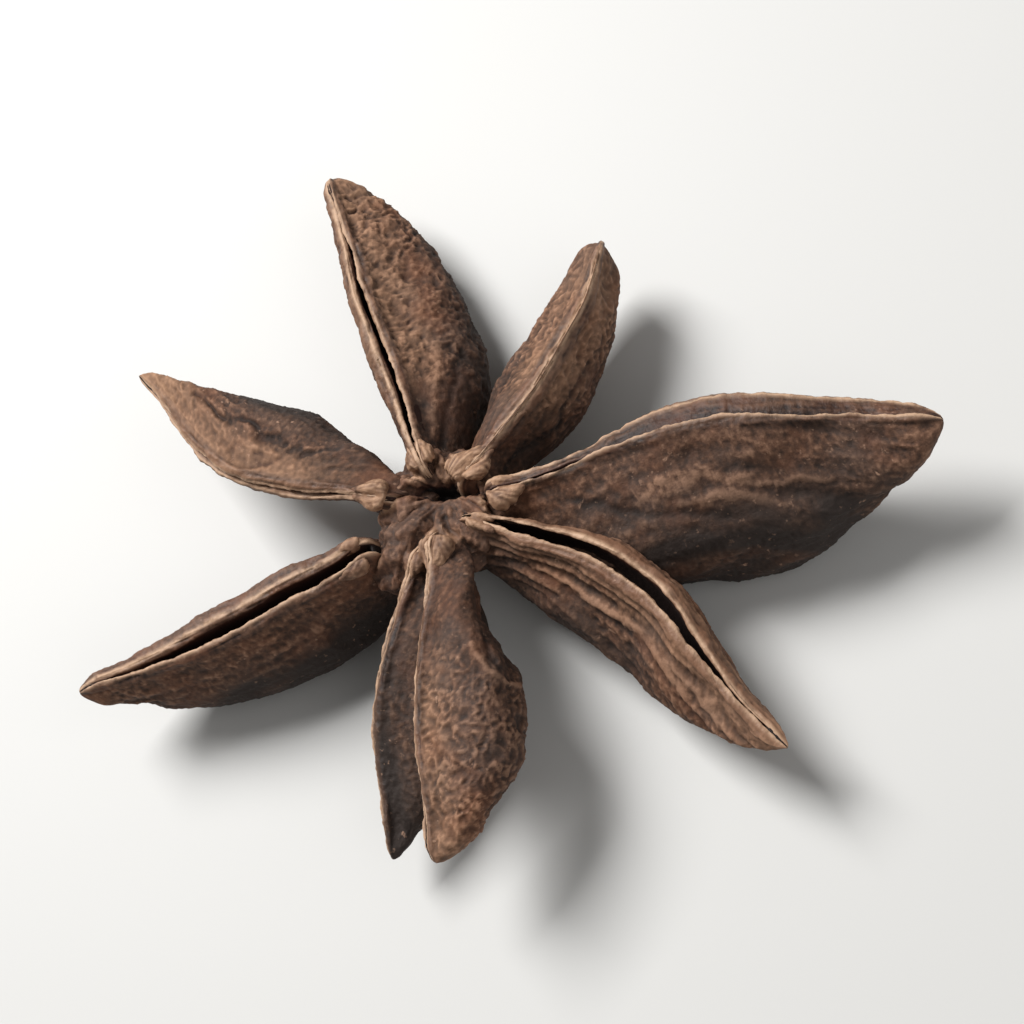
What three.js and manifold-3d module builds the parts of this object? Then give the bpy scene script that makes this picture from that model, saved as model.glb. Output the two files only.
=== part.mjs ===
// A dried star anise fruit, lying with its open side up.
//
// Eight woody carpels grow from one short column, like the arms of a star. Each is a small boat: two lips
// run along its upper edge from the column to a beak, on either side of the seam, and its flanks swell below
// the lips and close in a keel. At the column each lip ends in a plump nub. The carpels differ in length and
// depth, and most lean over to one side, as they do when the fruit dries. It is one piece.
//
// Millimetres, +Z up. The origin is the centre of the stalk scar, on the surface that the fruit rests on.

import * as THREE from "three";
import { mergeVertices } from "three/addons/utils/BufferGeometryUtils.js";
import Module from "manifold-3d";

const wasm = await Module();
wasm.setup();

const { clamp, lerp, smoothstep, degToRad, euclideanModulo } = THREE.MathUtils;

// ---- Driving dimensions ----

// One entry for each carpel, counter-clockwise seen from above.
//   azimuth, reach, tipHeight   where the beak's top ends: bearing in degrees, distance from the axis, height
//   entry                       bearing at which the carpel leaves the column
//   depth, width                of the body at its fullest
//   bow                         how far it swings to the left of a straight line from column to beak
//   arch                        how far the lips rise above that line
//   crown                       share of the length at which it bows and rises most
//   lean                        roll about that line in degrees; positive lays the right flank open to view
//   gape                        widest opening between the lips
//   knob                        distance from the axis to the lips' inner ends
//   lips                        thickness of the left and the right lip
//   peaks                       where each lip is highest, as a share of its thickness
//   widens                      stretch of the length over which lips and groove reach their whole size
//   groove                      how far the lips slope down to the seam
//   neck, beak                  shares of the depth at the column and at the beak
//   swell                       stretch of the length over which the depth grows to the whole
//   taper                       share of the length from which the depth narrows
//   nubs                        sizes of the plump ends of the left and the right lip
const CARPELS = [
  {
    azimuth: 5, entry: 6.5, bow: 0, reach: 18.8, tipHeight: 4.7, depth: 5.9, width: 4.2, arch: 1.45,
    crown: 0.56, lean: 36, gape: 0.14, knob: 2.5, lips: [1.3, 0.42], peaks: [0.86, 0.35],
    widens: [0.28, 0.48], groove: 0.42, neck: 0.55, swell: [0, 0.4], taper: 0.66, beak: 0.2,
    nubs: [0.5, 1.05],
  },
  {
    azimuth: 57.6, entry: 38, bow: 0, reach: 11.9, tipHeight: 4.1, depth: 4.2, width: 3.4, arch: 0.5,
    crown: 0.56, lean: -18, gape: 0, knob: 1.7, lips: [0.45, 0.45], peaks: [0.12, 0.12],
    widens: [0.1, 0.4], groove: -0.1, neck: 0.48, swell: [0, 0.45], taper: 0.6, beak: 0.5,
    nubs: [1.3, 0.8],
  },
  {
    azimuth: 109.5, entry: 107.5, bow: 0, reach: 15.2, tipHeight: 3.7, depth: 5.0, width: 4.6, arch: 0.4,
    crown: 0.56, lean: 19, gape: 0.22, knob: 1.9, lips: [0.8, 0.4], peaks: [0.2, 0.2], widens: [0.1, 0.4],
    groove: 0.12, neck: 0.58, swell: [0, 0.3], taper: 0.68, beak: 0.24, nubs: [0.9, 0.75],
  },
  {
    azimuth: 152, entry: 168, bow: 0, reach: 14.4, tipHeight: 3.8, depth: 3.1, width: 2.6, arch: 1.3,
    crown: 0.56, lean: 60, gape: 0.06, knob: 2.2, lips: [0.45, 0.5], peaks: [0.3, 0.15],
    widens: [0.1, 0.4], groove: 0.14, neck: 0.32, swell: [0, 0.55], taper: 0.46, beak: 0.07,
    nubs: [0.85, 0.85],
  },
  {
    azimuth: 201.5, entry: 212, bow: 0, reach: 15.7, tipHeight: 4.2, depth: 4.9, width: 3.4, arch: 0.3,
    crown: 0.56, lean: -6, gape: 0.5, knob: 3.4, lips: [0.4, 0.95], peaks: [0.15, 0.3], widens: [0.1, 0.4],
    groove: 0.14, neck: 0.62, swell: [0, 0.32], taper: 0.68, beak: 0.2, nubs: [0.9, 0.75],
  },
  {
    azimuth: 258, entry: 246, bow: 0, reach: 12.8, tipHeight: 2.1, depth: 3.7, width: 2.7, arch: 0.6,
    crown: 0.56, lean: -64, gape: 0.06, knob: 2.1, lips: [0.5, 0.5], peaks: [0.3, 0.3], widens: [0.1, 0.4],
    groove: 0.14, neck: 0.5, swell: [0, 0.5], taper: 0.62, beak: 0.15, nubs: [0.6, 0.7],
  },
  {
    azimuth: 269.5, entry: 268, bow: 0, reach: 13.3, tipHeight: 4.9, depth: 3.6, width: 3, arch: 0.5,
    crown: 0.56, lean: -74, gape: 0.05, knob: 1.6, lips: [0.5, 0.5], peaks: [0.3, 0.3], widens: [0.1, 0.4],
    groove: 0.14, neck: 0.52, swell: [0.32, 0.5], taper: 0.74, beak: 0.25, nubs: [1.05, 0.8],
  },
  {
    azimuth: 322.5, entry: 325, bow: 1.6, reach: 16, tipHeight: 3.7, depth: 4.7, width: 3.6, arch: 0.6,
    crown: 0.46, lean: 18, gape: 0.48, knob: 1.7, lips: [0.6, 0.5], peaks: [0.14, 0.14],
    widens: [0.1, 0.4], groove: 0.08, neck: 0.62, swell: [0, 0.32], taper: 0.62, beak: 0.08,
    nubs: [0.45, 0.5],
  },
];
const LEFT = 0;
const RIGHT = 1;

const HUB_HEIGHT = 5.0; // where the straight lines to the beaks start, on the axis
const ROOT = 0.7; // distance from the axis to a carpel's innermost section

// The column's radius and height from the stalk scar, its underside, up to its top.
const COLUMN_PROFILE = [
  [0, 0],
  [1.3, 0],
  [1.22, 0.5],
  [1.25, 0.9],
  [1.9, 1.9],
  [2.4, 3],
  [2.4, 4.1],
  [1.7, 4.65],
  [0, 4.65],
];
// The column bulges into a shoulder where no carpel crowds it.
const SHOULDER = { bearing: 226, spread: 30, bulge: 0.5, from: 1.9, to: 3.4 };
const PIT = { x: 0.25, y: 0.65, top: 4.75, halfLength: 1.15, halfWidth: 0.28, depth: 1.1 };

// The stretches below are shares of a carpel's length, from where they start to where they end.
const NARROWING = { depth: 1.15, width: 1.4 }; // powers that round the taper in side and top view
const WIDTH = { atColumn: 0.45, swellFrom: 0.05, swellTo: 0.5, taper: 0.55, pointed: 0.9, blunt: 0.6 };
const CROWDED = { half: 0.25, slope: 0.38 }; // neighbours leave this half width, and so much more further out
const GAPING = { opensFrom: 0.04, opensTo: 0.25, closesFrom: 0.58, closesTo: 0.93 };
const LIP_AT_COLUMN = 0.3; // a lip's thickness at the column, as a share of its whole
const GROOVE_END = { from: 0.75, to: 0.97 };
const SEAM_START = { from: -0.6, to: 0.2 }; // millimetres beyond the lips' inner ends
const SEAM_END = { from: 0.9, to: 0.95 };
const BEAK_START = 0.94; // from here on the end is rounded
const BEAK_MIDDLE = 0.4; // the rounded end's middle, as a share of the height from lips to keel

const LIP_SHOULDER = 0.3; // drop of a lip from its peak to the flank
const FLATTEST_PEAK = 1.3; // a lip with its peak this far out would have no shoulder
const SHOULDER_LIMIT = 0.2; // the most of the body's height that the shoulder takes up
const LIP_THINNING = { share: 0.5, power: 3 }; // how much thinner a lip is at the beak
const LIP_LIMIT = 0.93; // the most of the half width that lip and gap take up
const INNER_END = { round: 0.6, drop: 1.8, steepness: 1.3 }; // how the lips round off towards the axis
// A nub starts inside the lip's end, is plumpest near its start and dwindles along the lip. rise: how far it
// stands above the lip. sink: how far its thin ends lie below. start, aside: shares of its width.
const NUB = { length: 1.65, width: 0.8, thickness: 0.9, rise: 0.1, sink: 0.08, start: 0.5, aside: 0.45 };
const NUB_PLUMPNESS = { skew: 0.55, fullness: 0.8 };
const CLOSED_SEAM_DEPTH = 0.5;
const SEAM_SHOWS = { from: 0.01, to: 0.05 }; // gapes from which a closed seam starts to show, and shows whole
const OPEN_SEAM_SHARE = 0.6; // an open seam's depth as a share of the body's
const OPEN_GAPE = 0.28; // from this gape on, a seam opens into the hollow
const HOLLOW_SHARE = 0.3; // how far the hollow undercuts the flank
const NARROWEST_GAP = 0.08;

// Powers that shape a cross-section's curves.
const SEAM_WALL = 3;
const GROOVE_SLOPE = 1.25;
const BELLY = { height: 0.8, fullness: 1.2 };
const KEEL_ROUNDNESS = 6;
const CLOSER_AT_KEEL = 0.2; // how much closer together the flank's points lie near the keel

// How finely a carpel is faceted.
const BODY_ROWS = 15;
const BEAK_ROWS = 3;
const SEAM_STEPS = 2;
const GROOVE_STEPS = 2;
const FLANK_STEPS = 7;
const ROUND_STEPS = 28;
const NUB_STEPS = { around: 8, along: 6 };

// ---- The form of a carpel ----

// The straight line from the column, at HUB_HEIGHT on the axis, to the beak.
function chordOf(carpel) {
  return Math.hypot(carpel.reach, HUB_HEIGHT - carpel.tipHeight);
}

// 0 at both ends of the length, with an even rise to 1 at the crown.
function swing(share, crown) {
  const evened = share ** (Math.log(0.5) / Math.log(crown));
  return (1 - Math.cos(2 * Math.PI * evened)) / 2;
}

// Depth of the body along the carpel, as a share of its fullest depth.
function depthShare(share, carpel) {
  const swelling = lerp(carpel.neck, 1, smoothstep(share, ...carpel.swell));
  const end = clamp((share - carpel.taper) / (1 - carpel.taper), 0, 1);
  return swelling * (1 - (1 - carpel.beak) * end ** NARROWING.depth);
}

// Width of the body along the carpel, as a share of its fullest width.
function widthShare(share, carpel) {
  const swelling = lerp(WIDTH.atColumn, 1, smoothstep(share, WIDTH.swellFrom, WIDTH.swellTo));
  const end = clamp((share - WIDTH.taper) / (1 - WIDTH.taper), 0, 1);
  return swelling * (1 - (WIDTH.pointed - WIDTH.blunt * carpel.beak) * end ** NARROWING.width);
}

// How far out the cross-sections lie, closest together where the lips end at the column and at the beak.
function rowsOutward(carpel) {
  const chord = chordOf(carpel);
  const { knob } = carpel;
  const { round, steepness } = INNER_END;
  const beak = chord * BEAK_START;
  const body = Array.from({ length: BODY_ROWS }, (_, i) => lerp(knob, beak, i / (BODY_ROWS - 1)));
  const turn = (i) => (Math.PI / 2) * BEAK_START * (i / BEAK_ROWS);
  const end = Array.from({ length: BEAK_ROWS }, (_, i) => lerp(beak, chord, Math.sin(turn(i + 1))));
  return [ROOT, knob - round * steepness, knob - round, knob - round / 2, ...body, ...end];
}

// How wide the seam stands open this far along.
function gapAt(carpel, share) {
  const opened = smoothstep(share, GAPING.opensFrom, GAPING.opensTo);
  const closed = smoothstep(share, GAPING.closesFrom, GAPING.closesTo);
  return Math.max(NARROWEST_GAP, carpel.gape * opened * (1 - closed));
}

// The measures of one side of the cross-section this far out. Heights count from the line between column
// and beak.
function sectionAt(carpel, outward, side) {
  const share = outward / chordOf(carpel);
  const fromKnob = outward - carpel.knob;
  const arch = carpel.arch * swing(share, carpel.crown);
  const { round, drop, steepness } = INNER_END;
  const rounding = round * (1 - Math.sqrt(1 - clamp(-fromKnob / round, 0, 1) ** 2));
  const fall = (drop - round) * smoothstep(-fromKnob, round, round * steepness);
  const crowded = CROWDED.half + CROWDED.slope * outward;
  const half = Math.min((carpel.width / 2) * widthShare(share, carpel), crowded);
  const gap = gapAt(carpel, share);
  const fillingOut = smoothstep(share, ...carpel.widens);
  const thinning = 1 - LIP_THINNING.share * share ** LIP_THINNING.power;
  const lip = carpel.lips[side] * lerp(LIP_AT_COLUMN, 1, fillingOut) * thinning;
  const crest = arch - rounding - fall;
  const keel = -carpel.depth * depthShare(share, carpel);
  const open = smoothstep(carpel.gape, OPEN_GAPE / 2, OPEN_GAPE);
  const closedDepth = CLOSED_SEAM_DEPTH * smoothstep(carpel.gape, SEAM_SHOWS.from, SEAM_SHOWS.to);
  const seam = lerp(closedDepth, OPEN_SEAM_SHARE * (crest - keel), open);
  const seamStart = smoothstep(fromKnob, SEAM_START.from, SEAM_START.to);
  const seamEnd = smoothstep(share, SEAM_END.from, SEAM_END.to);
  return {
    share,
    half,
    crest,
    keel,
    gap,
    groove: carpel.groove * fillingOut * (1 - smoothstep(share, GROOVE_END.from, GROOVE_END.to)),
    peakShare: carpel.peaks[side],
    lipHalf: Math.min(gap / 2 + lip, LIP_LIMIT * half),
    seamDepth: Math.min(seam, OPEN_SEAM_SHARE * (crest - keel)) * seamStart * (1 - seamEnd),
    hollow: HOLLOW_SHARE * open * Math.max(0, half - gap / 2 - lip),
  };
}

// One side of a cross-section's outline: from the bottom of the seam, up the inside of the lip, over its
// crest and down the flank to the keel, as distances from the middle and heights.
function halfOutline(section) {
  const { half, crest, keel, gap, groove, peakShare, lipHalf, seamDepth, hollow } = section;
  const shoulder = Math.min(LIP_SHOULDER * (FLATTEST_PEAK - peakShare), SHOULDER_LIMIT * (crest - keel));
  const peak = lerp(gap / 2, lipHalf, peakShare);
  const points = [];
  for (let i = 0; i < SEAM_STEPS; i++) {
    const rise = i / SEAM_STEPS;
    const side = (gap / 2) * (1 - (1 - rise) ** SEAM_WALL) + hollow * Math.sin(Math.PI * rise);
    points.push([side, crest - groove - seamDepth * (1 - rise)]);
  }
  for (let i = 0; i < GROOVE_STEPS; i++) {
    const rise = i / GROOVE_STEPS;
    points.push([lerp(gap / 2, peak, rise), crest - groove * (1 - rise) ** GROOVE_SLOPE]);
  }
  points.push([peak, crest], [lipHalf, crest - shoulder]);
  for (let i = 1; i < FLANK_STEPS; i++) {
    const even = 1 - i / FLANK_STEPS;
    const height = even * (1 - CLOSER_AT_KEEL * (1 - even));
    const belly = Math.sin(Math.PI * height ** BELLY.height) ** BELLY.fullness;
    const round = Math.sqrt(1 - (1 - height) ** KEEL_ROUNDNESS);
    points.push([lipHalf * round + (half - lipHalf) * belly, lerp(keel, crest - shoulder, height)]);
  }
  points.push([0, keel]);
  return points;
}

// The whole ring of a cross-section, as local points: outward, to the left, up.
function ringAt(carpel, outward) {
  const section = sectionAt(carpel, outward, LEFT);
  const { share, crest, keel } = section;
  const left = halfOutline(section).slice(1, -1).reverse();
  const right = halfOutline(sectionAt(carpel, outward, RIGHT));
  const ring = [...right.map(([side, up]) => [-side, up]), ...left];
  const middle = lerp(crest, keel, BEAK_MIDDLE);
  const blunt = Math.sqrt(1 - clamp((share - BEAK_START) / (1 - BEAK_START), 0, 1) ** 2);
  return ring.map(([side, up]) => new THREE.Vector3(outward, side * blunt, lerp(middle, up, blunt)));
}

// Takes a carpel's local points, outward, left and up, to the fruit's frame, with its lean and its bend.
function placer(carpel) {
  const azimuth = degToRad(carpel.azimuth);
  const drop = carpel.tipHeight - HUB_HEIGHT;
  const tip = new THREE.Vector3(carpel.reach * Math.cos(azimuth), carpel.reach * Math.sin(azimuth), drop);
  const outwards = tip.clone().normalize();
  const leftwards = new THREE.Vector3(0, 0, 1).cross(outwards).normalize();
  const upwards = outwards.clone().cross(leftwards);
  const bend = Math.tan(degToRad(carpel.entry - carpel.azimuth));
  const leaningBy = 0.35; // share of the length at which the carpel has rolled over
  return (p) => {
    const share = p.x / tip.length();
    const lean = degToRad(carpel.lean) * smoothstep(share, 0, leaningBy);
    const sideways = bend * p.x * (1 - share) + carpel.bow * swing(share, carpel.crown);
    const side = p.y * Math.cos(lean) + p.z * Math.sin(lean) + sideways;
    const up = p.z * Math.cos(lean) - p.y * Math.sin(lean);
    return new THREE.Vector3(0, 0, HUB_HEIGHT)
      .addScaledVector(outwards, p.x)
      .addScaledVector(leftwards, side)
      .addScaledVector(upwards, up);
  };
}

// A closed surface through rings of points, with a point closing each end.
function surfaceThrough(rings) {
  const count = rings[0].length;
  const middle = (ring) => ring.reduce((sum, p) => sum.add(p), new THREE.Vector3()).divideScalar(count);
  const points = [...rings.flat(), middle(rings[0]), middle(rings.at(-1))];
  const inner = rings.length * count;
  const beak = inner + 1;
  const faces = [];
  for (let j = 0; j < count; j++) {
    const next = (j + 1) % count;
    faces.push(inner, next, j);
    for (let i = 0; i < rings.length - 1; i++) {
      const a = i * count;
      const b = a + count;
      faces.push(a + j, b + next, b + j, a + j, a + next, b + next);
    }
    faces.push(inner - count + j, inner - count + next, beak);
  }
  return new THREE.BufferGeometry().setFromPoints(points).setIndex(faces);
}

function carpelGeometry(carpel) {
  const place = placer(carpel);
  return surfaceThrough(rowsOutward(carpel).map((outward) => ringAt(carpel, outward).map(place)));
}

// One ring of the plump end of a lip, this share of the way along it.
function nubRing(carpel, side, along) {
  const size = carpel.nubs[side];
  const plump = Math.sin(Math.PI * along ** NUB_PLUMPNESS.skew) ** NUB_PLUMPNESS.fullness;
  const width = size * NUB.width * plump;
  const thickness = size * NUB.thickness * plump;
  const start = carpel.knob - NUB.start * size * NUB.width;
  const outward = start + along * NUB.length * Math.sqrt(size);
  const { crest, gap, lipHalf } = sectionAt(carpel, Math.max(outward, carpel.knob), side);
  const aside = Math.max((gap / 2 + lipHalf) / 2, NUB.aside * width);
  const middleUp = crest + (NUB.rise + NUB.sink) * plump - NUB.sink - thickness / 2;
  return Array.from({ length: NUB_STEPS.around }, (_, i) => {
    const turn = (2 * Math.PI * i) / NUB_STEPS.around;
    const across = (side === LEFT ? aside : -aside) + (width / 2) * Math.cos(turn);
    return new THREE.Vector3(outward, across, middleUp + (thickness / 2) * Math.sin(turn));
  });
}

// The plump end of the lip on one side.
function nubGeometry(carpel, side) {
  const place = placer(carpel);
  const shareAt = (i) => (1 - Math.cos((Math.PI * i) / NUB_STEPS.along)) / 2;
  const rings = Array.from({ length: NUB_STEPS.along - 1 }, (_, i) => nubRing(carpel, side, shareAt(i + 1)));
  return surfaceThrough(rings.map((ring) => ring.map(place)));
}

// ---- The column and the pit ----

function columnGeometry() {
  const profile = COLUMN_PROFILE.map(([radius, height]) => new THREE.Vector2(radius, height));
  const column = new THREE.LatheGeometry(profile, ROUND_STEPS).rotateX(Math.PI / 2);
  const at = column.attributes.position;
  for (let i = 0; i < at.count; i++) {
    const bearing = Math.atan2(at.getY(i), at.getX(i));
    const off = euclideanModulo(bearing, 2 * Math.PI) - degToRad(SHOULDER.bearing);
    const near = Math.exp(-((off / degToRad(SHOULDER.spread)) ** 2));
    const bulge = 1 + SHOULDER.bulge * near * smoothstep(at.getZ(i), SHOULDER.from, SHOULDER.to);
    at.setXY(i, at.getX(i) * bulge, at.getY(i) * bulge);
  }
  return column;
}

function pitGeometry() {
  const facetsAround = 12;
  const facetsDown = 8;
  return new THREE.SphereGeometry(1, facetsAround, facetsDown)
    .scale(PIT.halfLength, PIT.halfWidth, PIT.depth)
    .translate(PIT.x, PIT.y, PIT.top);
}

// ---- Joining ----

function solidOf(geometry) {
  const sameVertexWithin = 1e-4;
  const bare = geometry.clone();
  bare.deleteAttribute("normal");
  bare.deleteAttribute("uv");
  const merged = mergeVertices(bare, sameVertexWithin);
  return new wasm.Manifold(
    new wasm.Mesh({
      numProp: 3,
      vertProperties: new Float32Array(merged.attributes.position.array),
      triVerts: new Uint32Array(merged.index.array),
    }),
  );
}

function geometryOf(solid) {
  const mesh = solid.getMesh();
  return new THREE.BufferGeometry()
    .setAttribute("position", new THREE.BufferAttribute(mesh.vertProperties, 3))
    .setIndex(new THREE.BufferAttribute(mesh.triVerts, 1));
}

// Everything under the surface that the fruit rests on is worn flat.
function floorGeometry() {
  const size = 80;
  return new THREE.BoxGeometry(size, size, size).translate(0, 0, -size / 2);
}

function podGeometry() {
  let pod = solidOf(columnGeometry());
  for (const carpel of CARPELS) {
    pod = pod.add(solidOf(carpelGeometry(carpel)));
    pod = pod.add(solidOf(nubGeometry(carpel, LEFT))).add(solidOf(nubGeometry(carpel, RIGHT)));
  }
  return geometryOf(pod.subtract(solidOf(pitGeometry())).subtract(solidOf(floorGeometry())));
}

const husk = new THREE.MeshStandardMaterial({ color: 0x5b4030, roughness: 0.75, metalness: 0 });
const pod = new THREE.Mesh(podGeometry(), husk);
pod.name = "pod";

const starAnise = new THREE.Group();
starAnise.add(pod);

export default starAnise;
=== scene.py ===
"""A dried star anise fruit, lying open side up on a pale table.

Eight woody carpels grow from one short column. Each is a dense skin in its own frame: cross-sections from
the column to the beak, which run from the bottom of the seam over the lip and down the flank to the keel.
The wrinkles, grain and lip ridges are real relief in that skin.

Lengths are in millimetres until a mesh is made, and Blender's units are metres.
"""

import itertools
import math

import bpy
import numpy as np
from mathutils import Matrix, Vector

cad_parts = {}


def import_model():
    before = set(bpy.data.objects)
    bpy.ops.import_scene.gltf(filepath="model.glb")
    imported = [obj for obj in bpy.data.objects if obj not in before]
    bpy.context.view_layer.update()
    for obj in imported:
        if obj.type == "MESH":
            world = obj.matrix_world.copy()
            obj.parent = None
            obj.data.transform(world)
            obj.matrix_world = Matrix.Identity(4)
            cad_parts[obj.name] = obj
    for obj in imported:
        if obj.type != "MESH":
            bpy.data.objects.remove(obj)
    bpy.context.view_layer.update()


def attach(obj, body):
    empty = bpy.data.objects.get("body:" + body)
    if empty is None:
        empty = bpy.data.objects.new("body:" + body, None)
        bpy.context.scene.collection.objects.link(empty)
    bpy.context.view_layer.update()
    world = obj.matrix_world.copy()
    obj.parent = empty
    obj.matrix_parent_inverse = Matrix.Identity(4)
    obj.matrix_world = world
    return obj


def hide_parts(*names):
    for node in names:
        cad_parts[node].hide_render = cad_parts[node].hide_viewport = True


MM = 0.001
LEFT, RIGHT = 0, 1

# ---- The fruit's measures, as in the CAD model where nothing else is said ----

# One entry for each carpel, anticlockwise seen from above:
# azimuth, reach, tip_height: where the beak's top ends, as bearing, distance from the axis and height
# entry: bearing at which the carpel leaves the column
# bow, arch: how far it swings to the left, and how far the lips rise, most of all at the share crown
# depth, width: of the body at its fullest
# lean: roll in degrees; positive lays the right flank open to view
# gape: widest opening between the lips
# knob: distance from the axis to the lips' inner ends
# lips, peaks: thickness of the left and the right lip, and where each is highest, as a share of it
# widens: stretch of the length over which lips and groove reach their whole size
# groove: how far the lips slope down to the seam
# neck, beak: shares of the depth at the column and at the beak
# swell, taper: stretch over which the depth grows to the whole, and where it starts to narrow
# nubs: sizes of the plump ends of the left and the right lip
# And for the dried husk alone:
# pebbles, furrows, ridges: strengths of its relief
# roughens: stretch of the length over which the relief sets in
# pale_and_shade: how pale the rim and the tip are, partly the husk's own tan and partly painted light, and how
# dark the foot of the flank, a painted shade; below 0 a rim or tip is painted shade too
# shade: how light the lips are, and how pale their nubs; low values, as on the fifth and sixth carpels, are
# painted shade
# folds: single creases, each with its side, its height (below 0 for a groove) and the line that it follows,
# as distances out from the column and down from the lips
CARPELS = [
    dict(
        azimuth=5, entry=6.5, bow=0, reach=18.8, tip_height=4.7,
        depth=5.9, width=4.2, arch=1.45, crown=0.56, lean=36,
        gape=0.14, knob=2.5, lips=(1.3, 0.42), peaks=(0.86, 0.35), widens=(0.28, 0.48), groove=0.42,
        neck=0.55, swell=(0, 0.4), taper=0.66, beak=0.2, nubs=(0.5, 1.05),
        pebbles=0.5, furrows=0.75, ridges=0.15, roughens=(0.1, 0.4),
        pale_and_shade=(-0.35, 0.2, 1.1), shade=(-0.4, 1.05),
        folds=[
            (RIGHT, 0.07, [(7.6, 1.9), (9.8, 1.7), (12.5, 2.2), (14.4, 2.0)]),
            (RIGHT, 0.07, [(9.3, 2.4), (11.2, 2.5), (12.6, 2.9)]),
            (RIGHT, -0.08, [(5.5, 1.4), (8.2, 2.6), (11, 3.3)]),
        ],
    ),
    dict(
        azimuth=57.6, entry=38, bow=0, reach=11.9, tip_height=4.1,
        depth=4.2, width=3.4, arch=0.5, crown=0.56, lean=-18,
        gape=0, knob=1.7, lips=(0.45, 0.45), peaks=(0.12, 0.12), widens=(0.1, 0.4), groove=-0.1,
        neck=0.48, swell=(0, 0.45), taper=0.6, beak=0.5, nubs=(1.3, 0.8),
        pebbles=0.95, furrows=0.4, ridges=0.2, roughens=(0.3, 0.55),
        pale_and_shade=(0.8, -0.15, 0.6), shade=(0, 1.1),
        folds=[
            (RIGHT, -0.06, [(2.6, 1.1), (5, 1.5), (7.5, 1.3)]),
        ],
    ),
    dict(
        azimuth=109.5, entry=107.5, bow=0, reach=15.2, tip_height=3.7,
        depth=5.0, width=4.6, arch=0.4, crown=0.56, lean=19,
        gape=0.22, knob=1.9, lips=(0.8, 0.4), peaks=(0.2, 0.2), widens=(0.1, 0.4), groove=0.12,
        neck=0.58, swell=(0, 0.3), taper=0.68, beak=0.24, nubs=(0.9, 0.75),
        pebbles=1.2, furrows=0.1, ridges=0, roughens=(0.2, 0.5),
        pale_and_shade=(0.95, 0.1, 0.9), shade=(-0.25, 1.15),
        folds=[
            (RIGHT, -0.08, [(2.6, 1.2), (4.6, 1.7), (6.2, 2.4)]),
            (RIGHT, 0.06, [(3, 0.8), (5, 1.1), (6.5, 1.6)]),
        ],
    ),
    dict(
        azimuth=152, entry=168, bow=0, reach=14.4, tip_height=3.8,
        depth=3.1, width=2.6, arch=1.3, crown=0.56, lean=60,
        gape=0.06, knob=2.2, lips=(0.45, 0.5), peaks=(0.3, 0.15), widens=(0.1, 0.4), groove=0.14,
        neck=0.32, swell=(0, 0.55), taper=0.46, beak=0.07, nubs=(0.85, 0.85),
        pebbles=0.5, furrows=0.7, ridges=0.2, roughens=(0.15, 0.5),
        pale_and_shade=(1.15, 0.6, 1.7), shade=(0.1, 1.15),
        folds=[
            (RIGHT, -0.13, [(11.3, 1.1), (9.4, 1.55), (8, 1.7), (6.5, 1.5)]),
            (RIGHT, -0.08, [(7.4, 0.8), (5.8, 1.3), (4.6, 1.6)]),
        ],
    ),
    dict(
        azimuth=201.5, entry=212, bow=0, reach=15.7, tip_height=4.2,
        depth=4.9, width=3.4, arch=0.3, crown=0.56, lean=-6,
        gape=0.5, knob=3.4, lips=(0.4, 0.95), peaks=(0.15, 0.3), widens=(0.1, 0.4), groove=0.14,
        neck=0.62, swell=(0, 0.32), taper=0.68, beak=0.2, nubs=(0.9, 0.75),
        pebbles=0.5, furrows=0.5, ridges=0.2, roughens=(0.1, 0.4),
        pale_and_shade=(0, 0.1, 1.4), shade=(-0.25, 0.35),
        folds=[],
    ),
    dict(
        azimuth=258, entry=246, bow=0, reach=12.8, tip_height=2.1,
        depth=3.7, width=2.7, arch=0.6, crown=0.56, lean=-64,
        gape=0.06, knob=2.1, lips=(0.5, 0.5), peaks=(0.3, 0.3), widens=(0.1, 0.4), groove=0.14,
        neck=0.5, swell=(0, 0.5), taper=0.62, beak=0.15, nubs=(0.6, 0.7),
        pebbles=0.6, furrows=0.4, ridges=0, roughens=(0.2, 0.5),
        pale_and_shade=(-1.4, -0.4, 1), shade=(-0.4, 0.35),
        folds=[],
    ),
    dict(
        azimuth=269.5, entry=268, bow=0, reach=13.3, tip_height=4.9,
        depth=3.6, width=3, arch=0.5, crown=0.56, lean=-74,
        gape=0.05, knob=1.6, lips=(0.5, 0.5), peaks=(0.3, 0.3), widens=(0.1, 0.4), groove=0.14,
        neck=0.52, swell=(0.32, 0.5), taper=0.74, beak=0.25, nubs=(1.05, 0.8),
        pebbles=1.1, furrows=0.2, ridges=0, roughens=(0.35, 0.58),
        pale_and_shade=(0.55, 0.1, 0.4), shade=(0, 0.75),
        folds=[
            (LEFT, 0.16, [(5.6, 1.95), (6.2, 2.35), (6.7, 2.75), (7, 3.3), (7, 3.9)]),
            (LEFT, -0.1, [(5.4, 2.45), (6, 2.75), (6.5, 3.2)]),
        ],
    ),
    dict(
        azimuth=322.5, entry=325, bow=1.6, reach=16, tip_height=3.7,
        depth=4.7, width=3.6, arch=0.6, crown=0.46, lean=18,
        gape=0.48, knob=1.7, lips=(0.6, 0.5), peaks=(0.14, 0.14), widens=(0.1, 0.4), groove=0.08,
        neck=0.62, swell=(0, 0.32), taper=0.62, beak=0.08, nubs=(0.45, 0.5),
        pebbles=0.5, furrows=1.1, ridges=0.8, roughens=(0, 0.3),
        pale_and_shade=(0.5, 0.3, 0.9), shade=(0.85, 0.95),
        folds=[
            (RIGHT, 0.07, [(4.2, 1.3), (7, 1.5), (10, 1.2), (13, 0.9)]),
        ],
    ),
]

HUB_HEIGHT = 5.0  # where the straight lines to the beaks start, on the axis
ROOT = 0.7  # distance from the axis to a carpel's innermost section
LEANING_BY = 0.35  # share of the length at which the carpel has rolled over

# Pairs below are stretches, from where something starts to where it ends, mostly as shares of the length.
DEPTH_NARROWING, WIDTH_NARROWING = 1.15, 1.4  # powers that round the taper in side and top view
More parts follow.
